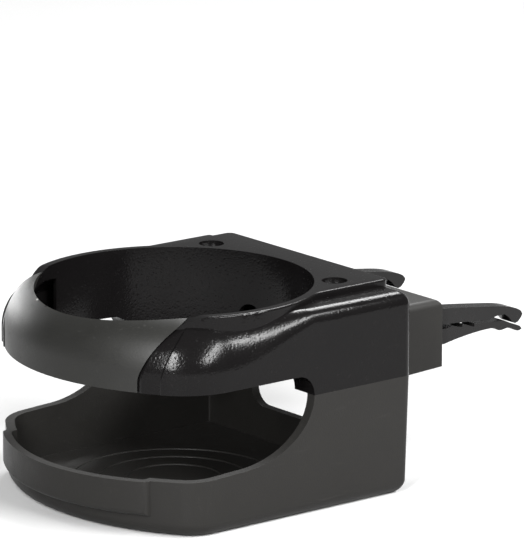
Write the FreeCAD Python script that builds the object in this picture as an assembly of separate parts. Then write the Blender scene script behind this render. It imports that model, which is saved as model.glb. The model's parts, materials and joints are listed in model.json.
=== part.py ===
import FreeCAD, Part
import math
import os
from FreeCAD import Vector

# Air-vent drink holder, millimetres. Origin: centre of the cup seat. +Z up, +Y towards the vent.

# ---- plan of the body ----
CUP_BORE_RADIUS = 34.5
ARM_WIDTH = 5.5
BACK_DEPTH = 8.8
HALF_WIDTH = CUP_BORE_RADIUS + ARM_WIDTH
FRONT_Y = -CUP_BORE_RADIUS - ARM_WIDTH
REAR_Y = CUP_BORE_RADIUS + BACK_DEPTH
FRONT_FLATNESS = 13.0
FRONT_RADIUS = HALF_WIDTH + FRONT_FLATNESS
CORNER_RADIUS = 18.0
REAR_CORNER_RADIUS = 2.5
LEAST_RADIUS = 0.5

# ---- heights ----
FLOOR_BOTTOM_Z = -2.5
SEAM_Z = 27.8
WINDOW_OVER_SEAM = 5.3
ARM_HEIGHT = 15.9
RIM_RAISE = 1.5
ARM_LOWER_Z = SEAM_Z + WINDOW_OVER_SEAM
SHOULDER_Z = ARM_LOWER_Z + ARM_HEIGHT
RIM_Z = SHOULDER_Z + RIM_RAISE

# ---- walls and clearances ----
WALL = 1.6
BORE_WALL = 1.2
TRAY_WALL = 2.0
FIT_GAP = 0.1
MOVE_GAP = 0.35
SPRING_END_GAP = 0.05

# ---- upper housing ----
SHOULDER_FRONT_RADIUS = 12.0
SHOULDER_REAR_RADIUS = 3.5
SHOULDER_BLEND_Y = 12.0
RIM_BAND_WIDTH = 2.4
PLATEAU_SIDE_MARGIN = 8.7
PLATEAU_HALF_WIDTH = HALF_WIDTH - PLATEAU_SIDE_MARGIN
PLATEAU_REAR_MARGIN = 0.5
PLATEAU_BLEND_RADIUS = 8.0
PLATEAU_CORNER_RADIUS = 2.0
RIM_EDGE_RADIUS = 0.5
ARM_END_SETBACK = 8.3
ARM_END_Y = FRONT_Y + ARM_END_SETBACK
ARM_END_LENGTH = 21.0
ARM_END_RISE = 15.5
ARM_END_OVERRUN = 0.4
CUFF_WIDTH = 2.6
CUFF_DROP = 0.3
WINDOW_TOP_Y = 7.2
WINDOW_REAR_Y = 12.0

# ---- lower tray ----
SEAT_MARGIN = 4.5
SEAT_RADIUS = CUP_BORE_RADIUS - SEAT_MARGIN
SEAT_RAISE = 0.6
LOWER_DRAFT = 0.8
TRAY_SETBACK = 2.0
TRAY_FRONT_FLATNESS = 20.0
TRAY_FRONT_RADIUS = HALF_WIDTH + TRAY_FRONT_FLATNESS
TRAY_CORNER_RADIUS = 11.0
TRAY_BOTTOM_RADIUS = 3.5
FRONT_RIM_Z = 10.8
SIDE_RIM_Z = 12.2
WINDOW_LOWER_LENGTH = 22.5
PANEL_SIDE_MARGIN = 11.0
PANEL_HALF_WIDTH = HALF_WIDTH - PANEL_SIDE_MARGIN
PANEL_LOWER_Z = 2.4
PANEL_EDGE_RADIUS = 1.6
DECK_THICKNESS = 2.0
DECK_FRONT_Y = 24.0
BACK_WINDOW_HALF_WIDTH = 20.0
BACK_WINDOW_LOWER_Z = 8.0
BACK_WINDOW_UPPER_Z = 22.0
BACK_WINDOW_RADIUS = 5.0

# ---- bow ----
BOW_CROWN = -0.3
BOW_TOP_Z = RIM_Z + BOW_CROWN
BOW_LOWER_Z = ARM_LOWER_Z
BOW_DOME_RADIUS = 12.0
BOW_RECESS = 0.6
BOW_COVER_WALL = 1.6
BOW_FRAME_WALL = 1.4
BOW_FRAME_RAISE = 2.3
BOW_TRAVEL = 4.0
LEG_WALL = 1.9
LEG_HEIGHT = 8.1
LEG_REAR_Y = 21.0
ROOT_THICKNESS = 2.5
ROOT_RISE = 5.8
ROOT_SHOULDER_GAP = 0.6
ROOT_OVERLAP = 1.0
NOTCH_FRONT_Y = -2.3
NOTCH_REAR_Y = 18.0
NOTCH_HEIGHT = 2.8

# ---- arm covers and bow springs ----
ARM_COVER_THICKNESS = 1.2
ARM_COVER_SETBACK = 19.7
ARM_COVER_FRONT_Y = ARM_END_Y + ARM_COVER_SETBACK
ARM_COVER_REAR_GAP = 0.5
LEG_COVER_GAP = 0.4
POST_LENGTH = 1.5
POST_GAP = 0.3
BOW_SPRING_SIDE_GAP = 0.45
BOW_SPRING_RADIUS = (ARM_WIDTH - WALL - BORE_WALL) / 2 - BOW_SPRING_SIDE_GAP
BOW_SPRING_WIRE = 0.18
BOW_SPRING_PITCH = 1.3
BOW_SPRING_LIFT = 0.3
LEG_LOWER_Z = ARM_LOWER_Z + ARM_COVER_THICKNESS + LEG_COVER_GAP
LEG_UPPER_Z = LEG_LOWER_Z + LEG_HEIGHT
NOTCH_UPPER_Z = LEG_LOWER_Z + NOTCH_HEIGHT

# ---- screws ----
HOUSING_SCREW_SIDE_INSET = 15.6
HOUSING_SCREW_REAR_INSET = 12.3
HOUSING_SCREW_X = HALF_WIDTH - HOUSING_SCREW_SIDE_INSET
HOUSING_SCREW_Y = REAR_Y - HOUSING_SCREW_REAR_INSET
HOUSING_HOLE_RADIUS = 3.2
HOUSING_HOLE_DEPTH = 3.4
HOUSING_SCREW_HEAD_RADIUS = 2.8
SCREW_HEAD_HEIGHT = 1.8
SCREW_RADIUS = 1.4
SCREW_TIP_GAP = 0.5
DRIVE_REACH = 1.5
DRIVE_HALF_WIDTH = 0.3
DRIVE_DEPTH = 1.1
BOSS_RADIUS = 4.4
BOSS_DROP = 8.0
MOUNT_SCREW_X = 11.0
MOUNT_SCREW_RISE = 11.1
MOUNT_SCREW_HEAD_RADIUS = 2.6
MOUNT_SCREW_LENGTH = 12.0
MOUNT_BOSS_RADIUS = 3.2
DRIVER_HOLE_RADIUS = 3.0

# ---- mount block ----
BLOCK_HALF_WIDTH = 27.5
BLOCK_DEPTH = 20.3
BLOCK_HEIGHT = 18.3
BLOCK_OVER_ARM_EDGE = 8.1
BLOCK_LOWER_RISE = 0.9
BLOCK_WALL = 1.8
BLOCK_EDGE_RADIUS = 2.2
BLOCK_REAR_Y = REAR_Y + BLOCK_DEPTH
BLOCK_UPPER_Z = ARM_LOWER_Z + BLOCK_OVER_ARM_EDGE
BLOCK_LOWER_Z = BLOCK_UPPER_Z - BLOCK_HEIGHT
MOUNT_SCREW_Z = BLOCK_LOWER_Z + MOUNT_SCREW_RISE

# ---- clips ----
CLIP_WIDTH = 4.8
CLIP_SIDE_GAP = 0.4
CLIP_X = BLOCK_HALF_WIDTH - BLOCK_WALL - CLIP_SIDE_GAP - CLIP_WIDTH / 2
CLIP_REACH = 28.7
CLIP_SLOT_MARGIN = 0.5
CHEEK_WIDTH = 1.1
PIN_INSET = 4.0
PIN_RISE = 8.5
PIN_RADIUS = 1.0
PIN_RUNNING_GAP = 0.05
HOOK_ROOT_RISE = 4.0
HOOK_ROOT_HEIGHT = 3.2
CARRIER_FRONT_GAP = 0.4
CARRIER_DEPTH = 5.0
TANG_LENGTH = 3.5
TANG_SHOULDER = 0.4
LEVER_RISE = 0.5
LEVER_SIDE_GAP = 0.1
TONGUE_SPRING_SEAT = 1.2
TONGUE_SPRING_BACK = 5.6
TONGUE_SPRING_RADIUS = 1.0
TONGUE_SPRING_WIRE = 0.2
TONGUE_SPRING_PITCH = 0.9
PIN_Y = BLOCK_REAR_Y - PIN_INSET
PIN_Z = BLOCK_LOWER_Z + PIN_RISE
TONGUE_SPRING_Y = PIN_Y - TONGUE_SPRING_BACK
CARRIER_REAR_Y = REAR_Y + CARRIER_FRONT_GAP + CARRIER_DEPTH
HOOK_ROOT_LOWER_Z = PIN_Z + HOOK_ROOT_RISE
HOOK_ROOT_UPPER_Z = HOOK_ROOT_LOWER_Z + HOOK_ROOT_HEIGHT
TONGUE_SPRING_TOP_Z = HOOK_ROOT_LOWER_Z + TONGUE_SPRING_SEAT
LEVER_UPPER_Z = PIN_Z + LEVER_RISE

BODY_PLAN = (FRONT_Y, FRONT_RADIUS, CORNER_RADIUS)
TRAY_PLAN = (FRONT_Y + TRAY_SETBACK, TRAY_FRONT_RADIUS, TRAY_CORNER_RADIUS)
BEYOND = 10.0
OVERCUT = 1.0
EPS = 0.01
UP = Vector(0, 0, 1)
BACKWARDS = Vector(0, 1, 0)
SIDEWAYS = Vector(1, 0, 0)


def save(node, shape):
    """Write one named piece."""
    shape = shape.removeSplitter()
    shape.exportStep("parts/" + node + ".step")


def arc(centre, radius, start_deg, end_deg, z):
    """Arc edge round a vertical axis, between two angles."""
    points = []
    for share in (0.0, 0.5, 1.0):
        angle = math.radians(start_deg + share * (end_deg - start_deg))
        points.append(Vector(centre[0] + radius * math.cos(angle), centre[1] + radius * math.sin(angle), z))
    return Part.Arc(*points).toShape()


def outline(inset, z, plan=BODY_PLAN, shift=0.0):
    """Closed plan of the body: straight sides and back, a shallow front arc and two corner arcs."""
    front_y, front_radius, corner_radius = plan
    side = HALF_WIDTH - inset
    front_centre = front_y + front_radius
    corner_x = HALF_WIDTH - corner_radius
    corner_y = front_centre - math.sqrt((front_radius - corner_radius) ** 2 - corner_x ** 2)
    meet = math.degrees(math.atan2(corner_y - front_centre, corner_x))
    corner = corner_radius - inset
    rear_radius = max(REAR_CORNER_RADIUS - inset, LEAST_RADIUS)
    rear_x = side - rear_radius
    rear_y = REAR_Y - inset - rear_radius
    edges = [
        Part.makeLine(Vector(side, rear_y, z), Vector(side, corner_y, z)),
        arc((corner_x, corner_y), corner, 0, meet, z),
        arc((0, front_centre), front_radius - inset, meet, -180 - meet, z),
        arc((-corner_x, corner_y), corner, -180 - meet, -180, z),
        Part.makeLine(Vector(-side, corner_y, z), Vector(-side, rear_y, z)),
        arc((-rear_x, rear_y), rear_radius, 180, 90, z),
        Part.makeLine(Vector(-rear_x, rear_y + rear_radius, z), Vector(rear_x, rear_y + rear_radius, z)),
        arc((rear_x, rear_y), rear_radius, 90, 0, z),
    ]
    wire = Part.Wire(edges)
    wire.translate(Vector(0, shift, 0))
    return wire


def prism(inset, z0, z1, plan=BODY_PLAN, shift=0.0):
    """Upright solid on a plan of the body."""
    face = Part.Face(outline(inset, z0, plan, shift))
    return face.extrude(Vector(0, 0, z1 - z0))


def drafted(inset0, z0, inset1, z1, plan):
    """Solid whose plan grows from one height to another."""
    wires = [outline(inset0, z0, plan), outline(inset1, z1, plan)]
    return Part.makeLoft(wires, True, True)


def edges_at(shape, z, test=None):
    """Edges that lie flat at one height."""
    found = []
    for edge in shape.Edges:
        box = edge.BoundBox
        if abs(box.ZMin - z) < EPS and abs(box.ZMax - z) < EPS:
            if test is None or test(box):
                found.append(edge)
    return found


def domed(inset, z0, top_z, radius):
    """Body plan with a round along its whole top edge."""
    solid = prism(inset, z0, top_z)
    return solid.makeFillet(radius, edges_at(solid, top_z))


def shouldered(inset, z0, shift=0.0):
    """Body plan up to the shoulder, with a wide round in front that tightens along the arms."""
    top_z = SHOULDER_Z - inset
    rear_radius = SHOULDER_REAR_RADIUS - inset
    half = prism(inset, z0, top_z).common(
        box(0, HALF_WIDTH + BEYOND, FRONT_Y - BEYOND, REAR_Y + BEYOND, z0, top_z))
    ahead = box(0, HALF_WIDTH + BEYOND, FRONT_Y - BEYOND, SHOULDER_BLEND_Y, z0, top_z)
    front = half.common(ahead)
    rear = half.cut(ahead)
    front = front.makeFillet(rear_radius, SHOULDER_FRONT_RADIUS - inset, edges_at(front, top_z, on_side))
    rear = rear.makeFillet(rear_radius, edges_at(rear, top_z, on_side))
    half = front.fuse(rear)
    whole = half.fuse(mirrored(half)).removeSplitter()
    whole.translate(Vector(0, shift, 0))
    return whole


def on_side(limits):
    """Whether an edge runs straight along the body's right side."""
    return limits.XLength < EPS and limits.XMin > EPS


def box(x0, x1, y0, y1, z0, z1):
    """Box between two corners."""
    return Part.makeBox(x1 - x0, y1 - y0, z1 - z0, Vector(x0, y0, z0))


def rod(x, y, z, radius, length, direction):
    """Round bar from a point."""
    return Part.makeCylinder(radius, length, Vector(x, y, z), direction)


def bore(radius, z0, z1):
    """Round bar on the cup's axis."""
    return rod(0, 0, z0, radius, z1 - z0, UP)


def side_profile(edges, half_width=HALF_WIDTH + BEYOND, centre=0.0):
    """Solid with a side-view outline, across the width."""
    face = Part.Face(Part.Wire(edges))
    face.translate(Vector(centre - half_width, 0, 0))
    return face.extrude(Vector(2 * half_width, 0, 0))


def path(points):
    """Straight edges through side-view points (y, z), closed."""
    corners = [Vector(0, y, z) for y, z in points]
    return [Part.makeLine(a, b) for a, b in zip(corners, corners[1:] + corners[:1])]


def polygon(points):
    """Open chain of straight side-view edges."""
    corners = [Vector(0, y, z) for y, z in points]
    return [Part.makeLine(a, b) for a, b in zip(corners, corners[1:])]


def quarter_ellipse(centre_y, centre_z, half_y, half_z, start_deg, end_deg):
    """Side-view elliptical arc as a spline through evenly turned points."""
    points = []
    steps = 8
    for step in range(steps + 1):
        angle = math.radians(start_deg + (end_deg - start_deg) * step / steps)
        points.append(Vector(0, centre_y + half_y * math.cos(angle), centre_z + half_z * math.sin(angle)))
    curve = Part.BSplineCurve()
    curve.interpolate(points)
    return curve.toShape()


def mirrored(shape):
    """The same piece on the other side."""
    return shape.mirror(Vector(0, 0, 0), Vector(1, 0, 0))


def ahead_of_arm_end(gap):
    """Everything in front of the arms' rounded ends, less a gap."""
    centre_y = ARM_END_Y + ARM_END_LENGTH
    crown_z = RIM_Z + ARM_END_OVERRUN
    centre_z = crown_z - ARM_END_RISE
    front = FRONT_Y - BEYOND
    top = RIM_Z + BEYOND
    low = FLOOR_BOTTOM_Z - BEYOND
    curve = quarter_ellipse(centre_y - gap, centre_z, ARM_END_LENGTH, ARM_END_RISE, 90, 180)
    rest = polygon([
        (ARM_END_Y - gap, centre_z),
        (ARM_END_Y - gap, low),
        (front, low),
        (front, top),
        (centre_y - gap, top),
        (centre_y - gap, crown_z),
    ])
    return side_profile([curve] + rest)


def upper_window(gap=0.0):
    """Space under the arms: level above, then an arc down to the seam; a gap widens the arc."""
    front = FRONT_Y - BEYOND
    upper = ARM_LOWER_Z + gap
    rear = WINDOW_REAR_Y + gap
    corner = quarter_ellipse(WINDOW_TOP_Y, SEAM_Z, rear - WINDOW_TOP_Y, upper - SEAM_Z, 90, 0)
    rest = polygon([
        (rear, SEAM_Z),
        (rear, SEAM_Z - BEYOND),
        (front, SEAM_Z - BEYOND),
        (front, upper),
        (WINDOW_TOP_Y, upper),
    ])
    return side_profile([corner] + rest)


def raised_layer():
    """Plateau at the back and the rim band that runs on from it along the bore."""
    band = bore(CUP_BORE_RADIUS + RIM_BAND_WIDTH, SHOULDER_Z - SHOULDER_FRONT_RADIUS, RIM_Z)
    plateau = box(-PLATEAU_HALF_WIDTH, PLATEAU_HALF_WIDTH, 0, REAR_Y - PLATEAU_REAR_MARGIN,
                  SHOULDER_Z - SHOULDER_FRONT_RADIUS, RIM_Z)
    layer = band.fuse(plateau).removeSplitter()
    meet_y = math.sqrt((CUP_BORE_RADIUS + RIM_BAND_WIDTH) ** 2 - PLATEAU_HALF_WIDTH ** 2)
    blends = []
    for edge in layer.Edges:
        limits = edge.BoundBox
        if limits.XLength < EPS and limits.YLength < EPS and abs(limits.YMin - meet_y) < 1:
            blends.append(edge)
    layer = layer.makeFillet(PLATEAU_BLEND_RADIUS, blends)
    corners = [edge for edge in layer.Edges
               if edge.BoundBox.YMin > REAR_Y - PLATEAU_REAR_MARGIN - EPS and edge.BoundBox.XLength < EPS]
    layer = layer.makeFillet(PLATEAU_CORNER_RADIUS, corners)
    return layer.makeFillet(RIM_EDGE_RADIUS, edges_at(layer, RIM_Z))


def housing_cavity():
    """Hollow inside the arms and the rear box, outside the bore's wall."""
    shell = shouldered(WALL, SEAM_Z - BEYOND)
    bore_wall = bore(CUP_BORE_RADIUS + BORE_WALL, SEAM_Z - BEYOND, RIM_Z)
    leg_room = box(-HALF_WIDTH, HALF_WIDTH, FRONT_Y, ARM_COVER_FRONT_Y, SEAM_Z - BEYOND, RIM_Z)
    window_wall = upper_window(ARM_COVER_THICKNESS).common(
        box(-HALF_WIDTH, HALF_WIDTH, WINDOW_TOP_Y, REAR_Y, SEAM_Z - BEYOND, RIM_Z))
    return shell.cut(bore_wall.cut(leg_room)).cut(window_wall)


def housing_screw_rods(z0, z1, radius):
    """Round bars on both housing screws' axes, between two heights."""
    rods = [rod(side * HOUSING_SCREW_X, HOUSING_SCREW_Y, z0, radius, z1 - z0, UP) for side in (-1, 1)]
    return rods[0].fuse(rods[1])


def mount_screw_rods(y0, y1, radius):
    """Round bars on both mount screws' axes, between two depths."""
    rods = [rod(side * MOUNT_SCREW_X, y0, MOUNT_SCREW_Z, radius, y1 - y0, BACKWARDS) for side in (-1, 1)]
    return rods[0].fuse(rods[1])


def cuff_steps():
    """Thin skins whose removal leaves a lower strip along each arm's rounded end."""
    rim = bore(CUP_BORE_RADIUS + RIM_BAND_WIDTH, SEAM_Z, RIM_Z + BEYOND)
    return ahead_of_arm_end(-CUFF_WIDTH).cut(shouldered(CUFF_DROP, SEAM_Z)).cut(rim)


def upper_housing():
    """Shell with both arms, the rear box, the plateau and the rim band."""
    shell = shouldered(0, SEAM_Z).fuse(raised_layer()).cut(cuff_steps())
    shell = shell.cut(housing_cavity().cut(housing_screw_rods(SEAM_Z, RIM_Z, BOSS_RADIUS)))
    shell = shell.cut(bore(CUP_BORE_RADIUS, SEAM_Z - BEYOND, RIM_Z + BEYOND))
    shell = shell.cut(ahead_of_arm_end(0))
    shell = shell.cut(upper_window())
    shell = shell.cut(housing_screw_rods(RIM_Z - HOUSING_HOLE_DEPTH, RIM_Z + BEYOND, HOUSING_HOLE_RADIUS))
    shell = shell.cut(housing_screw_rods(SEAM_Z - BEYOND, RIM_Z, SCREW_RADIUS))
    shell = shell.cut(mount_screw_rods(0, REAR_Y + BEYOND, SCREW_RADIUS))
    return shell.cut(mount_screw_rods(0, REAR_Y - WALL, DRIVER_HOLE_RADIUS))


def rim_cut():
    """Everything above the tray's rim and in front of its swept side walls."""
    front = FRONT_Y - BEYOND
    top = SEAM_Z + BEYOND
    low_y = WINDOW_REAR_Y - WINDOW_LOWER_LENGTH
    curve = quarter_ellipse(low_y, SEAM_Z, WINDOW_LOWER_LENGTH, SEAM_Z - SIDE_RIM_Z, 0, -90)
    rise = (SIDE_RIM_Z - FRONT_RIM_Z) / (low_y - FRONT_Y)
    rest = polygon([
        (low_y, SIDE_RIM_Z),
        (front, FRONT_RIM_Z + rise * (front - FRONT_Y)),
        (front, top),
        (WINDOW_REAR_Y, top),
        (WINDOW_REAR_Y, SEAM_Z),
    ])
    return side_profile([curve] + rest)


def back_window():
    """Rounded opening through the tray's back wall."""
    cutter = box(-BACK_WINDOW_HALF_WIDTH, BACK_WINDOW_HALF_WIDTH, REAR_Y - 2 * TRAY_WALL, REAR_Y + BEYOND,
                 BACK_WINDOW_LOWER_Z, BACK_WINDOW_UPPER_Z)
    corners = [edge for edge in cutter.Edges
               if edge.BoundBox.XLength < EPS and edge.BoundBox.ZLength < EPS]
    return cutter.makeFillet(BACK_WINDOW_RADIUS, corners)


def front_panel(inset):
    """Front panel of the tray, its lower and side edges rounded; an inset gives the space behind it."""
    half = PANEL_HALF_WIDTH - inset
    low = PANEL_LOWER_Z + inset
    panel = prism(inset, low, SEAM_Z).common(box(-half, half, FRONT_Y - BEYOND, 0, low, SEAM_Z))
    rounds = edges_at(panel, low, lambda limits: limits.YMax < 0 and limits.XLength > half)
    for edge in panel.Edges:
        limits = edge.BoundBox
        if limits.XLength < EPS and limits.YLength < EPS and limits.YMax < -EPS:
            rounds.append(edge)
    return panel.makeFillet(PANEL_EDGE_RADIUS, rounds)


def lower_tray():
    """Tray with its rim, the walls up to the seam, the deck and the open back."""
    outer = drafted(LOWER_DRAFT, FLOOR_BOTTOM_Z, 0, SEAM_Z, TRAY_PLAN)
    outer = outer.makeFillet(TRAY_BOTTOM_RADIUS, edges_at(outer, FLOOR_BOTTOM_Z))
    tray = outer.fuse(front_panel(0))
    well = prism(TRAY_WALL + LOWER_DRAFT, -SEAT_RAISE, SEAM_Z - DECK_THICKNESS, TRAY_PLAN)
    well = well.fuse(front_panel(TRAY_WALL))
    open_top = box(-HALF_WIDTH, HALF_WIDTH, FRONT_Y, DECK_FRONT_Y, 0, SEAM_Z + OVERCUT)
    well = well.fuse(prism(TRAY_WALL + LOWER_DRAFT, 0, SEAM_Z + OVERCUT, TRAY_PLAN).common(open_top))
    well = well.cut(housing_screw_rods(SEAM_Z - BOSS_DROP, SEAM_Z, BOSS_RADIUS))
    tray = tray.cut(well)
    tray = tray.cut(bore(CUP_BORE_RADIUS, -SEAT_RAISE, SEAM_Z + BEYOND))
    tray = tray.cut(rim_cut())
    tray = tray.cut(back_window())
    tray = tray.cut(housing_screw_rods(SEAM_Z - BOSS_DROP + DECK_THICKNESS, SEAM_Z + BEYOND, SCREW_RADIUS))
    return tray.fuse(bore(SEAT_RADIUS, -SEAT_RAISE - EPS, 0))


def bow_cover():
    """Matt domed shell across the front, ending a gap short of the arms."""
    outer = domed(BOW_RECESS, BOW_LOWER_Z, BOW_TOP_Z, BOW_DOME_RADIUS)
    inner = domed(BOW_RECESS + BOW_COVER_WALL, BOW_LOWER_Z - BEYOND, BOW_TOP_Z - BOW_COVER_WALL,
                  BOW_DOME_RADIUS - BOW_COVER_WALL)
    shell = outer.cut(inner).cut(bore(CUP_BORE_RADIUS, BOW_LOWER_Z - BEYOND, BOW_TOP_Z + BEYOND))
    return shell.common(ahead_of_arm_end(MOVE_GAP))


def beside_bore_wall():
    """Space that the legs leave free round the bore's wall over the whole travel."""
    reach = CUP_BORE_RADIUS + BORE_WALL + MOVE_GAP
    round_wall = bore(reach, SEAM_Z, RIM_Z).fuse(box(-reach, reach, 0, REAR_Y, SEAM_Z, RIM_Z))
    return round_wall.common(box(-reach, reach, ARM_COVER_FRONT_Y, REAR_Y, SEAM_Z, RIM_Z))


def bow_legs():
    """Two legs that run inside the arms over the whole travel, on roots behind the bow's band."""
    lead = BOW_TRAVEL + MOVE_GAP
    inset = WALL + MOVE_GAP
    front = ARM_END_Y + BOW_TRAVEL
    legs = shouldered(inset, SEAM_Z, lead).cut(
        prism(inset + LEG_WALL, SEAM_Z - OVERCUT, RIM_Z, shift=lead))
    legs = legs.common(box(-HALF_WIDTH, HALF_WIDTH, front, LEG_REAR_Y, LEG_LOWER_Z, LEG_UPPER_Z))
    legs = legs.cut(box(-HALF_WIDTH, HALF_WIDTH, NOTCH_FRONT_Y, NOTCH_REAR_Y, LEG_LOWER_Z - OVERCUT,
                        NOTCH_UPPER_Z))
    legs = legs.cut(beside_bore_wall())
    root_x = math.sqrt((FRONT_RADIUS - inset - ROOT_SHOULDER_GAP) ** 2
                       - (FRONT_Y + FRONT_RADIUS - ARM_END_Y) ** 2)
    for side in (-1, 1):
        x0, x1 = sorted((side * (root_x - ROOT_THICKNESS), side * root_x))
        legs = legs.fuse(box(x0, x1, FRONT_Y, front + ROOT_OVERLAP, BOW_LOWER_Z + BOW_FRAME_RAISE,
                             LEG_LOWER_Z + ROOT_RISE))
    return legs


def bow_frame():
    """Inner band of the bow with the two sliding legs."""
    cover_inset = BOW_RECESS + BOW_COVER_WALL
    lower_z = BOW_LOWER_Z + BOW_FRAME_RAISE
    band = prism(cover_inset, lower_z, LEG_UPPER_Z).cut(
        prism(cover_inset + BOW_FRAME_WALL, lower_z - OVERCUT, LEG_UPPER_Z + OVERCUT))
    band = band.common(ahead_of_arm_end(MOVE_GAP))
    inner_cover = domed(cover_inset, lower_z - BEYOND, BOW_TOP_Z - BOW_COVER_WALL,
                        BOW_DOME_RADIUS - BOW_COVER_WALL)
    outside = ahead_of_arm_end(MOVE_GAP).cut(inner_cover)
    frame = band.fuse(bow_legs()).cut(outside)
    return frame.cut(bore(CUP_BORE_RADIUS + FIT_GAP, 0, RIM_Z + BEYOND))


def arm_channel_middle():
    """X of the middle of the arm's channel beside the cup."""
    return (HALF_WIDTH - WALL + CUP_BORE_RADIUS + BORE_WALL) / 2


def arm_cover():
    """Right-hand strip that closes the arm from below, with the spring's post."""
    upper = ARM_LOWER_Z + ARM_COVER_THICKNESS
    strip = prism(WALL + FIT_GAP, ARM_LOWER_Z, upper)
    strip = strip.cut(bore(CUP_BORE_RADIUS + BORE_WALL + FIT_GAP, ARM_LOWER_Z - OVERCUT, upper + OVERCUT))
    strip = strip.common(box(0, HALF_WIDTH, ARM_COVER_FRONT_Y + FIT_GAP, WINDOW_TOP_Y - ARM_COVER_REAR_GAP,
                             ARM_LOWER_Z - OVERCUT, upper + OVERCUT))
    post_y = NOTCH_FRONT_Y + POST_GAP
    middle = arm_channel_middle()
    post = box(middle - BOW_SPRING_RADIUS, middle + BOW_SPRING_RADIUS, post_y, post_y + POST_LENGTH,
               upper - EPS, NOTCH_UPPER_Z - LEG_COVER_GAP)
    return strip.fuse(post)


def coil(radius, wire, pitch, length):
    """Coil spring along +Z from the origin."""
    height = length - 2 * wire
    helix = Part.makeHelix(pitch, height, radius - wire)
    section = Part.Wire([Part.makeCircle(wire, Vector(radius - wire, 0, 0), Vector(0, 1, 0))])
    spring = Part.Wire(helix.Edges).makePipeShell([section], True, True)
    spring.translate(Vector(0, 0, wire))
    return spring


def bow_spring():
    """Right-hand spring between the post and the end of the leg's notch."""
    start = NOTCH_FRONT_Y + POST_GAP + POST_LENGTH + SPRING_END_GAP
    length = NOTCH_REAR_Y - start - SPRING_END_GAP
    spring = coil(BOW_SPRING_RADIUS, BOW_SPRING_WIRE, BOW_SPRING_PITCH, length)
    spring.rotate(Vector(0, 0, 0), SIDEWAYS, -90)
    spring.translate(Vector(arm_channel_middle(), start,
                            ARM_LOWER_Z + ARM_COVER_THICKNESS + BOW_SPRING_RADIUS + BOW_SPRING_LIFT))
    return spring


def screw(head_radius, shank_length):
    """Cross-head screw along Z, its head standing on the origin and its shank below."""
    head = rod(0, 0, 0, head_radius, SCREW_HEAD_HEIGHT, UP)
    shank = rod(0, 0, -shank_length, SCREW_RADIUS, shank_length + EPS, UP)
    low = SCREW_HEAD_HEIGHT - DRIVE_DEPTH
    high = SCREW_HEAD_HEIGHT + OVERCUT
    blade = box(-DRIVE_REACH, DRIVE_REACH, -DRIVE_HALF_WIDTH, DRIVE_HALF_WIDTH, low, high)
    other = box(-DRIVE_HALF_WIDTH, DRIVE_HALF_WIDTH, -DRIVE_REACH, DRIVE_REACH, low, high)
    return head.fuse(shank).cut(blade.fuse(other))


def pair_at(shape, x, y, z):
    """One piece on each side of the middle plane."""
    pair = []
    for side in (-1, 1):
        piece = shape.copy()
        piece.translate(Vector(side * x, y, z))
        pair.append(piece)
    return Part.makeCompound(pair)


def housing_screws():
    """Two screws down through the plateau's holes into the tray's pillars."""
    seat_z = RIM_Z - HOUSING_HOLE_DEPTH
    tip_z = SEAM_Z - BOSS_DROP + DECK_THICKNESS + SCREW_TIP_GAP
    return pair_at(screw(HOUSING_SCREW_HEAD_RADIUS, seat_z - tip_z), HOUSING_SCREW_X, HOUSING_SCREW_Y, seat_z)


def mount_screws():
    """Two screws through the housing's back wall into the mount block's bosses."""
    fastener = screw(MOUNT_SCREW_HEAD_RADIUS, MOUNT_SCREW_LENGTH)
    fastener.rotate(Vector(0, 0, 0), SIDEWAYS, 90)
    return pair_at(fastener, MOUNT_SCREW_X, REAR_Y - WALL, MOUNT_SCREW_Z)


def block_profile(inset):
    """Side view of the mount block, with its slightly rising underside."""
    front = REAR_Y
    rear = BLOCK_REAR_Y - inset
    low = BLOCK_LOWER_Z + inset
    return path([
        (front, low),
        (rear, low + BLOCK_LOWER_RISE),
        (rear, BLOCK_UPPER_Z - inset),
        (front, BLOCK_UPPER_Z - inset),
    ])


def clip_slot(gap):
    """Space that a clip takes through the block's back wall, on the right."""
    margin = BLOCK_WALL + CLIP_SLOT_MARGIN
    half = CLIP_WIDTH / 2 + gap
    return box(CLIP_X - half, CLIP_X + half, BLOCK_REAR_Y - 3 * BLOCK_WALL, BLOCK_REAR_Y + BEYOND,
               BLOCK_LOWER_Z + BLOCK_LOWER_RISE + margin, BLOCK_UPPER_Z - margin)


def mount_block():
    """Box behind the housing, open to it, with bosses for its screws and slots for the clips."""
    block = side_profile(block_profile(0), BLOCK_HALF_WIDTH)
    rounds = []
    for edge in block.Edges:
        limits = edge.BoundBox
        across = limits.YLength < EPS and limits.ZLength < EPS and limits.YMin > PIN_Y
        along = limits.XLength < EPS and limits.ZLength < EPS
        if (across or along) and limits.ZMin > PIN_Z:
            rounds.append(edge)
    block = block.makeFillet(BLOCK_EDGE_RADIUS, rounds)
    inside = side_profile(block_profile(BLOCK_WALL), BLOCK_HALF_WIDTH - BLOCK_WALL)
    block = block.cut(inside.cut(mount_screw_rods(REAR_Y, BLOCK_REAR_Y, MOUNT_BOSS_RADIUS)))
    block = block.cut(mount_screw_rods(REAR_Y - OVERCUT, REAR_Y + MOUNT_SCREW_LENGTH, SCREW_RADIUS))
    slot = clip_slot(FIT_GAP)
    return block.cut(slot).cut(mirrored(slot))


def tang_space(gap):
    """The hook's square tang in the carrier, on the right."""
    half = CLIP_WIDTH / 2 - TANG_SHOULDER + gap
    return box(CLIP_X - half, CLIP_X + half, CARRIER_REAR_Y - TANG_LENGTH - gap, CARRIER_REAR_Y + EPS,
               HOOK_ROOT_LOWER_Z - gap, HOOK_ROOT_UPPER_Z + gap)


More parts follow.
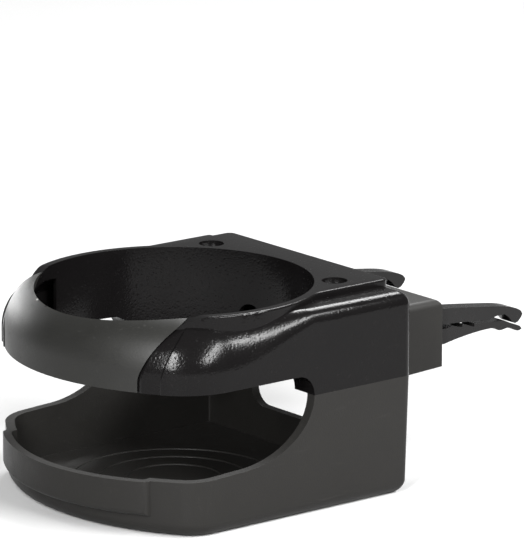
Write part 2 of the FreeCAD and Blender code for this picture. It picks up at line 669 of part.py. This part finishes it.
def clip_carrier():
    """Bar that fills the front of the mount block and holds both clips' tangs."""
    half = BLOCK_HALF_WIDTH - BLOCK_WALL - FIT_GAP
    low = BLOCK_LOWER_Z + BLOCK_WALL + BLOCK_LOWER_RISE
    bar = box(-half, half, REAR_Y + CARRIER_FRONT_GAP, CARRIER_REAR_Y, low,
              BLOCK_UPPER_Z - BLOCK_WALL - FIT_GAP)
    bar = bar.cut(mount_screw_rods(REAR_Y - OVERCUT, CARRIER_REAR_Y + OVERCUT,
                                   MOUNT_BOSS_RADIUS + FIT_GAP))
    socket = tang_space(FIT_GAP)
    return bar.cut(socket).cut(mirrored(socket))


def on_clip(points):
    """Side-view points from shares of the clip's reach behind the block and rises over the pin."""
    return [(BLOCK_REAR_Y + share * CLIP_REACH, PIN_Z + rise) for share, rise in points]


def spline(points):
    """Smooth side-view curve through points (y, z)."""
    curve = Part.BSplineCurve()
    curve.interpolate([Vector(0, y, z) for y, z in points])
    return curve.toShape()


def clip_eye(gap):
    """Hole for the hinge pin through a clip, on the right."""
    return rod(CLIP_X - CLIP_WIDTH, PIN_Y, PIN_Z, PIN_RADIUS + gap, 2 * CLIP_WIDTH, SIDEWAYS)


def clip_hook():
    """Right-hand fixed jaw: curved beam with a hooked tip, a clevis for the pin and a tang."""
    crown = on_clip([(0.10, 6.5), (0.36, 5.6), (0.64, 4.5), (0.83, 3.6), (0.94, 2.6), (0.98, 1.9),
                     (1.0, 1.0)])
    barb = on_clip([(0.985, 0.2), (0.95, -0.8), (0.915, -1.1), (0.88, -0.6), (0.84, 0.8), (0.79, 1.8)])
    belly = on_clip([(0.70, 1.8), (0.61, 1.2), (0.43, 1.7), (0.10, 2.4)])
    root = [(CARRIER_REAR_Y, HOOK_ROOT_LOWER_Z), (CARRIER_REAR_Y, HOOK_ROOT_UPPER_Z)]
    lower = polygon(crown[-1:] + barb + belly + root + crown[:1])
    hook = side_profile([spline(crown)] + lower, CLIP_WIDTH / 2, CLIP_X).fuse(tang_space(0))
    cheek = path([
        (PIN_Y - 2.6, PIN_Z - 2.2),
        (PIN_Y + 2.6, PIN_Z - 2.2),
        (PIN_Y + 3.2, PIN_Z + 3.6),
        (PIN_Y - 5.0, PIN_Z + 4.2),
    ])
    for side in (-1, 1):
        middle = CLIP_X + side * (CLIP_WIDTH - CHEEK_WIDTH) / 2
        hook = hook.fuse(side_profile(cheek, CHEEK_WIDTH / 2, middle))
    seat = rod(CLIP_X, TONGUE_SPRING_Y, LEVER_UPPER_Z, TONGUE_SPRING_RADIUS + FIT_GAP,
               TONGUE_SPRING_TOP_Z - LEVER_UPPER_Z, UP)
    return hook.cut(clip_eye(0)).cut(seat)


def clip_tongue():
    """Right-hand moving jaw: arched blade with grip teeth, a flared tail and a lever past its pin."""
    underside = on_clip([(0.084, -2.7), (0.275, -1.8), (0.446, -1.3), (0.582, -1.1), (0.676, -1.2)])
    tail = on_clip([(0.676, -1.2), (0.767, -2.1), (0.833, -1.9), (0.906, -2.8), (0.962, -3.2)])
    tip = on_clip([(0.993, -2.8), (0.969, -2.0), (0.915, -1.35), (0.87, -0.9), (0.78, 0.3), (0.641, 0.5)])
    teeth = on_clip([(0.439, 1.0), (0.432, 0.2), (0.30, 1.6), (0.293, 0.8), (0.167, 1.6), (0.098, 1.2)])
    heel = on_clip([(0.049, 1.2), (0.049, -2.5)])
    upper = polygon(tail[-1:] + tip + teeth + heel + underside[:1])
    blade = side_profile([spline(underside), spline(tail)] + upper, CLIP_WIDTH / 2, CLIP_X)
    lever = side_profile(path([
        (TONGUE_SPRING_Y - 2.0, LEVER_UPPER_Z - 1.6),
        (PIN_Y, PIN_Z - 2.0),
        (PIN_Y + 6.4, PIN_Z - 2.4),
        (PIN_Y + 6.4, PIN_Z + 1.0),
        (PIN_Y + 1.0, PIN_Z + 2.0),
        (PIN_Y - 1.0, PIN_Z + 2.0),
        (TONGUE_SPRING_Y + 2.0, LEVER_UPPER_Z),
        (TONGUE_SPRING_Y - 2.0, LEVER_UPPER_Z),
    ]), CLIP_WIDTH / 2 - CHEEK_WIDTH - LEVER_SIDE_GAP, CLIP_X)
    return blade.fuse(lever).cut(clip_eye(PIN_RUNNING_GAP))


def tongue_pin():
    """Right-hand hinge pin, held in the hook's two cheeks."""
    return rod(CLIP_X - CLIP_WIDTH / 2, PIN_Y, PIN_Z, PIN_RADIUS, CLIP_WIDTH, SIDEWAYS)


def tongue_spring():
    """Right-hand coil spring that presses the tongue's lever down."""
    base = LEVER_UPPER_Z + SPRING_END_GAP
    spring = coil(TONGUE_SPRING_RADIUS, TONGUE_SPRING_WIRE, TONGUE_SPRING_PITCH,
                  TONGUE_SPRING_TOP_Z - SPRING_END_GAP - base)
    spring.translate(Vector(CLIP_X, TONGUE_SPRING_Y, base))
    return spring


def build():
    """Make every piece."""
    os.makedirs("parts", exist_ok=True)
    save("upper_housing", upper_housing())
    save("lower_tray", lower_tray())
    save("bow_cover", bow_cover())
    save("bow_frame", bow_frame())
    save("mount_block", mount_block())
    save("clip_carrier", clip_carrier())
    save("housing_screws", housing_screws())
    save("mount_screws", mount_screws())
    paired = {
        "arm_cover": arm_cover(),
        "bow_spring": bow_spring(),
        "clip_hook": clip_hook(),
        "clip_tongue": clip_tongue(),
        "tongue_pin": tongue_pin(),
        "tongue_spring": tongue_spring(),
    }
    for name, shape in paired.items():
        save("right_" + name, shape)
        save("left_" + name, mirrored(shape))


build()
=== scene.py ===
import json
from math import cos, pi, radians, sin

import bmesh
import bpy
from mathutils import Matrix, Vector


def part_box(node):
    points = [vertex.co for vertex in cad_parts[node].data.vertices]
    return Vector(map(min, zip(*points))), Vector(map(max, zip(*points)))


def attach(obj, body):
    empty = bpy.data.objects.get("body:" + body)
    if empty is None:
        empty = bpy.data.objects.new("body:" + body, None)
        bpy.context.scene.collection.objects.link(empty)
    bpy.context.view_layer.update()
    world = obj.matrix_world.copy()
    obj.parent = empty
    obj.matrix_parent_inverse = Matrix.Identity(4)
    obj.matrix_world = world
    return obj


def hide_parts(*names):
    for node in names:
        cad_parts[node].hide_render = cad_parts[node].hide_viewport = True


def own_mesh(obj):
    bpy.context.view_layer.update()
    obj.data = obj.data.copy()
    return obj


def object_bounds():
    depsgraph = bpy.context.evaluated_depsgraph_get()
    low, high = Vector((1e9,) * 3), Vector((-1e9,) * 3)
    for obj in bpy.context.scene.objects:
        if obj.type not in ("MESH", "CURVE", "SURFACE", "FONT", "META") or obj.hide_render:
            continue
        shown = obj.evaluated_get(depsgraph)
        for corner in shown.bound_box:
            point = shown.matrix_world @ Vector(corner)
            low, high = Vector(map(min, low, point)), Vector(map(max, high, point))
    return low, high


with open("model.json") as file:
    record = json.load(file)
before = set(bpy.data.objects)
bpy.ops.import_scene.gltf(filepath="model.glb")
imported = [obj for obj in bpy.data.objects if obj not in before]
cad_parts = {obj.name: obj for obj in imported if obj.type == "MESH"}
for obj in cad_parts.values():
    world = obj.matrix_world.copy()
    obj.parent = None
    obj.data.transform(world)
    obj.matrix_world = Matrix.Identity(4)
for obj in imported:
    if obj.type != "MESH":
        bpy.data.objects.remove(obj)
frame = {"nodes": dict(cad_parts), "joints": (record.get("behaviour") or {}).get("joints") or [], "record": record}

# Air-vent drink holder: a tray and ring for a can, a sprung bow in front and two clips behind. Metres.

CAD_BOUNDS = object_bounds()
MM = 0.001
LOW, HIGH = (Vector(corner) for corner in CAD_BOUNDS)
RECORD = frame["record"]
BODY_OF = {node: body for body, nodes in RECORD["behaviour"]["bodies"].items() for node in nodes}
MOUNTS = {mount["name"]: mount for mount in RECORD["mounts"]}
SIDES = ("left_", "right_")

# ---- camera ----
VIEW_AZIMUTH = 51.1
VIEW_ELEVATION = 14.04
VIEW_ROLL = 0.16
VIEW_DISTANCE = 1.2845
VIEW_AIM = Vector((17.3, 13.8, 54.4)) * MM
VIEW_LENS = 350

# ---- light and floor ----
WORLD_STRENGTH = 0.25
FLOOR_HALF_SIZE = 6
PAPER_DARK = (0.40, 0.40, 0.40)
PAPER_PALE = (0.43, 0.43, 0.43)

# ---- shapes ----
MERGE_DISTANCE = 0.001 * MM
FLAT_ANGLE = radians(0.4)
SHARP_ANGLE = radians(25)
EDGE_SEGMENTS = 2
RING_RADII = (12 * MM, 19 * MM, 26 * MM)
RING_WIRE_RADIUS = 0.45 * MM
RING_SINK = 0.1 * MM
RING_WIRE_SIDES = 12
RING_STEPS = 96

# ---- finishes ----
GRAIN_SIZE = 0.35 * MM
DUST_SHARE = 0.12
SCUFF_SHARE = 0.08
MARK_BRIGHTNESS = 4


class Signal:
    """One output of a finish's nodes. Arithmetic on it adds Math nodes."""

    def __init__(self, finish, output):
        self.finish = finish
        self.output = output

    def combine(self, operation, first, second):
        return self.finish.node("ShaderNodeMath", {"operation": operation}, {0: first, 1: second})

    def __add__(self, other):
        return self.combine("ADD", self, other)

    def __sub__(self, other):
        return self.combine("SUBTRACT", self, other)

    def __rsub__(self, other):
        return self.combine("SUBTRACT", other, self)

    def __mul__(self, other):
        return self.combine("MULTIPLY", self, other)

    __radd__ = __add__
    __rmul__ = __mul__


class Finish:
    """A procedural material round one Principled shader, on object coordinates."""

    def __init__(self, name, **fixed):
        self.material = bpy.data.materials.new(name)
        self.material.use_nodes = True
        self.tree = self.material.node_tree
        self.shader = self.tree.nodes["Principled BSDF"]
        for socket, value in fixed.items():
            self.feed(self.shader.inputs[socket.replace("_", " ")], value)
        self.place = self.node("ShaderNodeTexCoord", output="Object")

    def feed(self, socket, value):
        if isinstance(value, Signal):
            self.tree.links.new(value.output, socket)
        else:
            socket.default_value = value

    def node(self, kind, settings=None, inputs=None, output=0):
        made = self.tree.nodes.new(kind)
        for key, value in (settings or {}).items():
            setattr(made, key, value)
        for key, value in (inputs or {}).items():
            self.feed(made.inputs[key], value)
        return Signal(self, made.outputs[output])

    def stretched(self, scale, turn=(0, 0, 0)):
        inputs = {"Vector": self.place, "Rotation": turn, "Scale": scale}
        return self.node("ShaderNodeMapping", None, inputs)

    def noise(self, size, detail=2, place=None):
        """Soft noise from 0 to 1, with features of one size in metres."""
        inputs = {"Vector": place or self.place, "Scale": 1 / size, "Detail": detail}
        return self.node("ShaderNodeTexNoise", None, inputs, "Fac")

    def cells(self, size):
        """Distance to the middle of scattered cells of one size in metres."""
        inputs = {"Vector": self.place, "Scale": 1 / size}
        return self.node("ShaderNodeTexVoronoi", None, inputs, "Distance")

    def between(self, value, low, high):
        """A range of a value stretched to run from 0 to 1, with soft ends."""
        inputs = {"Value": value, "From Min": low, "From Max": high}
        return self.node("ShaderNodeMapRange", {"interpolation_type": "SMOOTHSTEP"}, inputs)

    def mix(self, factor, first, second):
        """Blend of two colours."""
        inputs = {0: factor, 6: (*first, 1) if isinstance(first, tuple) else first, 7: (*second, 1)}
        return self.node("ShaderNodeMix", {"data_type": "RGBA"}, inputs, 2)

    def bump(self, height, depth, under=None):
        """Relief of one depth in metres, over another relief where one is given."""
        inputs = {"Height": height, "Distance": depth, "Strength": 1}
        if under:
            inputs["Normal"] = under
        return self.node("ShaderNodeBump", None, inputs, "Normal")

    def dress(self, color, roughness, normal):
        self.feed(self.shader.inputs["Base Color"], color)
        self.feed(self.shader.inputs["Roughness"], roughness)
        self.feed(self.shader.inputs["Normal"], normal)
        return self.material


def moulded(name, color, pale, roughness, grain_size, grain_depth, wave_depth, sheen):
    """Moulded plastic: eroded grain, slow sink waves, handling marks and a trace of dust."""
    finish = Finish(name, IOR=1.5, Specular_IOR_Level=sheen)
    grain = finish.noise(grain_size, detail=3)
    pits = finish.between(finish.cells(grain_size * 2.2), 0.05, 0.45)
    broad = finish.noise(14 * MM, detail=3)
    handled = finish.between(finish.noise(5 * MM, detail=4), 0.52, 0.72)
    dust = finish.between(finish.noise(0.9 * MM, detail=1), 0.68, 0.76)
    slanted = finish.stretched((1, 0.07, 0.5), (0.2, 0.1, 0.6))
    scuffs = finish.between(finish.noise(0.5 * MM, place=slanted), 0.66, 0.74)
    tone = finish.mix(broad, color, pale)
    mark = tuple(MARK_BRIGHTNESS * part for part in pale)
    tone = finish.mix(dust * DUST_SHARE + scuffs * SCUFF_SHARE, tone, mark)
    rough = roughness + (broad - 0.5) * 0.12 + handled * -0.05 + (grain - 0.5) * 0.16 + dust * 0.1
    waves = finish.bump(finish.noise(9 * MM, detail=1), wave_depth)
    relief = finish.bump(grain * 0.6 + pits * 0.4, grain_depth, waves)
    return finish.dress(tone, rough, relief)


def plated_steel(name):
    """Zinc plate with a faint spangle and fine turning marks."""
    finish = Finish(name, Metallic=1.0)
    spangle = finish.cells(0.8 * MM)
    marks = finish.noise(0.2 * MM, place=finish.stretched((1, 1, 6)))
    tone = finish.mix(spangle, (0.42, 0.42, 0.43), (0.6, 0.6, 0.59))
    rough = 0.3 + marks * 0.15 + spangle * 0.1
    return finish.dress(tone, rough, finish.bump(marks, 0.01 * MM))


FINISHES = {
    "satin_black": moulded("satin black plastic", (0.0024, 0.0022, 0.0023), (0.0036, 0.0033, 0.0033),
                           0.18, 0.45 * MM, 0.05 * MM, 0.015 * MM, sheen=0.11),
    "bow_matt": moulded("matt black plastic", (0.0060, 0.0060, 0.0054), (0.0080, 0.0080, 0.0070),
                        0.48, GRAIN_SIZE, 0.018 * MM, 0.012 * MM, sheen=0.3),
    "charcoal_matt": moulded("matt charcoal plastic", (0.0068, 0.0064, 0.0058), (0.0088, 0.0083, 0.0075),
                             0.52, GRAIN_SIZE, 0.022 * MM, 0.015 * MM, sheen=0.2),
    "clip_black": moulded("clip black plastic", (0.0045, 0.0043, 0.0043), (0.0065, 0.0062, 0.0062),
                          0.25, GRAIN_SIZE, 0.008 * MM, 0.01 * MM, sheen=0.2),
    "steel": plated_steel("zinc-plated steel"),
}
SLOT_OF = {part["node"]: part["material_slot"] for part in RECORD["subparts"]}


def add_object(name, shape, material):
    """Finished bmesh as an object of one material."""
    mesh = bpy.data.meshes.new(name)
    shape.to_mesh(mesh)
    shape.free()
    made = bpy.data.objects.new(name, mesh)
    bpy.context.scene.collection.objects.link(made)
    mesh.materials.append(material)
    return made


def add_piece(name, shape, body, slot):
    """Finished bmesh as a piece of the model, on a body and in a finish."""
    piece = add_object(name, shape, FINISHES[slot])
    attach(piece, body)
    return piece


def shade_smooth(shape):
    for face in shape.faces:
        face.smooth = True


def merged_copy(node):
    """Bmesh of one solid with its doubled vertices merged."""
    shape = bmesh.new()
    shape.from_mesh(frame["nodes"][node].data)
    bmesh.ops.remove_doubles(shape, verts=shape.verts, dist=MERGE_DISTANCE)
    return shape


def soften(piece, width):
    """Small rounds on a piece's sharp edges, with the flat faces kept flat."""
    bevel = piece.modifiers.new("edge rounds", "BEVEL")
    bevel.width = width
    bevel.segments = EDGE_SEGMENTS
    bevel.limit_method = "ANGLE"
    bevel.angle_limit = SHARP_ANGLE
    bevel.harden_normals = True


def moulded_skin(node, width):
    """Smooth skin over one solid, with rounded edges, standing in for it."""
    shape = merged_copy(node)
    bmesh.ops.dissolve_limit(shape, angle_limit=FLAT_ANGLE, verts=shape.verts, edges=shape.edges)
    shade_smooth(shape)
    for edge in shape.edges:
        edge.smooth = edge.calc_face_angle(0) < SHARP_ANGLE
    piece = add_piece(node + "_skin", shape, BODY_OF[node], SLOT_OF[node])
    soften(piece, width)
    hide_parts(node)


def stock_finishes():
    """Finish on every solid that keeps its own shape."""
    for node, solid in frame["nodes"].items():
        solid.data.materials.clear()
        solid.data.materials.append(FINISHES[SLOT_OF[node]])


def coil_spring(node, axis, fixed_end):
    """Spring wire, smooth-shaded, standing in for its solid."""
    low, high = (Vector(corner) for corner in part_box(node))
    anchor = (low + high) / 2
    along = [abs(part) > 0.5 for part in axis].index(True)
    anchor[along] = (low if fixed_end == "low" else high)[along]
    shape = merged_copy(node)
    shade_smooth(shape)
    wire = add_piece(node + "_wire", shape, BODY_OF[node], SLOT_OF[node])
    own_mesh(wire)
    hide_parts(node)


def springs():
    """Bow springs between the arms' posts and the legs, tongue springs under the hooks."""
    travel = next(joint["range_m"][1] for joint in frame["joints"] if joint["name"] == "bow_slide")
    for side in SIDES:
        low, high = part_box(side + "bow_spring")
        bow_spring_keep = 1 - travel / (high[1] - low[1])
        coil_spring(side + "bow_spring", (0, 1, 0), "low")
        coil_spring(side + "tongue_spring", (0, 0, 1), "high")


EDGE_ROUNDS = {
    "upper_housing": 0.32 * MM,
    "lower_tray": 0.28 * MM,
    "bow_cover": 0.3 * MM,
    "bow_frame": 0.12 * MM,
    "mount_block": 0.25 * MM,
    "clip_carrier": 0.15 * MM,
}
for side in SIDES:
    EDGE_ROUNDS[side + "arm_cover"] = 0.12 * MM
    EDGE_ROUNDS[side + "clip_hook"] = 0.18 * MM
    EDGE_ROUNDS[side + "clip_tongue"] = 0.12 * MM


def seat_rings():
    """Low rings round the seat, so that a wet can doesn't cling to it."""
    seat = Vector(MOUNTS["cup_seat"]["pos_m"])
    shape = bmesh.new()
    for radius in RING_RADII:
        circle = bmesh.ops.create_circle(shape, segments=RING_WIRE_SIDES, radius=RING_WIRE_RADIUS)
        profile = circle["verts"]
        bmesh.ops.rotate(shape, verts=profile, cent=(0, 0, 0), matrix=Matrix.Rotation(pi / 2, 3, "X"))
        bmesh.ops.translate(shape, verts=profile, vec=seat + Vector((radius, 0, -RING_SINK)))
        loop = list({edge for vert in profile for edge in vert.link_edges})
        bmesh.ops.spin(shape, geom=profile + loop, cent=seat, axis=(0, 0, 1), angle=2 * pi,
                       steps=RING_STEPS, use_merge=True)
    bmesh.ops.recalc_face_normals(shape, faces=shape.faces)
    shade_smooth(shape)
    add_piece("seat_rings", shape, "holder", SLOT_OF["lower_tray"])


def studio():
    """Paper floor and even surroundings."""
    world = bpy.data.worlds.new("studio")
    bpy.context.scene.world = world
    world.use_nodes = True
    surroundings = world.node_tree.nodes["Background"].inputs
    surroundings["Color"].default_value = (1, 1, 1, 1)
    surroundings["Strength"].default_value = WORLD_STRENGTH
    bpy.context.scene.view_settings.view_transform = "Standard"
    paper = Finish("studio paper", Specular_IOR_Level=0.2)
    fibre = paper.noise(0.8 * MM, detail=4)
    tone = paper.mix(fibre, PAPER_DARK, PAPER_PALE)
    paper.dress(tone, 0.75 + fibre * 0.1, paper.bump(fibre, 0.01 * MM))
    shape = bmesh.new()
    bmesh.ops.create_grid(shape, x_segments=1, y_segments=1, size=FLOOR_HALF_SIZE)
    bmesh.ops.translate(shape, verts=shape.verts, vec=(0, 0, LOW.z))
    floor = add_object("floor", shape, paper.material)


def direction(azimuth, elevation):
    """Way out from the holder, in degrees from straight in front towards the right."""
    turn = radians(azimuth)
    rise = radians(elevation)
    return Vector((sin(turn) * cos(rise), -cos(turn) * cos(rise), sin(rise)))


def facing(away, roll):
    """Turn that looks back along a direction, rolled by some degrees."""
    return away.to_track_quat("Z", "Y").to_matrix() @ Matrix.Rotation(radians(roll), 3, "Z")


def softbox(name, azimuth, elevation, distance, size, power, turn=0):
    """Rectangular light aimed at the middle of the holder, turned about its own axis."""
    middle = (LOW + HIGH) / 2
    away = direction(azimuth, elevation)
    light = bpy.data.lights.new(name, "AREA")
    light.shape = "RECTANGLE"
    light.size, light.size_y = size
    light.energy = power
    lamp = bpy.data.objects.new(name, light)
    lamp.location = middle + away * distance
    lamp.rotation_euler = facing(away, turn).to_euler()
    bpy.context.scene.collection.objects.link(lamp)


def camera():
    """Long lens, from the front right and a little above."""
    away = direction(VIEW_AZIMUTH, VIEW_ELEVATION)
    lens = bpy.data.cameras.new("camera")
    lens.lens = VIEW_LENS
    lens.clip_start = 0.1
    lens.clip_end = 20
    eye = bpy.data.objects.new("camera", lens)
    turn = facing(away, VIEW_ROLL).to_4x4()
    eye.matrix_world = Matrix.Translation(VIEW_AIM + away * VIEW_DISTANCE) @ turn
    bpy.context.scene.collection.objects.link(eye)
    bpy.context.scene.camera = eye


camera()
studio()
softbox("rear_right", 106, 38, 0.9, (0.80, 0.14), 21, turn=34)
softbox("front_strip", 33, 28, 1.0, (0.12, 0.6), 20)
softbox("far_left", -98, 4, 1.2, (0.5, 0.4), 9)
softbox("behind", -150, 48, 1.1, (0.5, 0.3), 12)
stock_finishes()
for node, width in EDGE_ROUNDS.items():
    moulded_skin(node, width)
seat_rings()
springs()
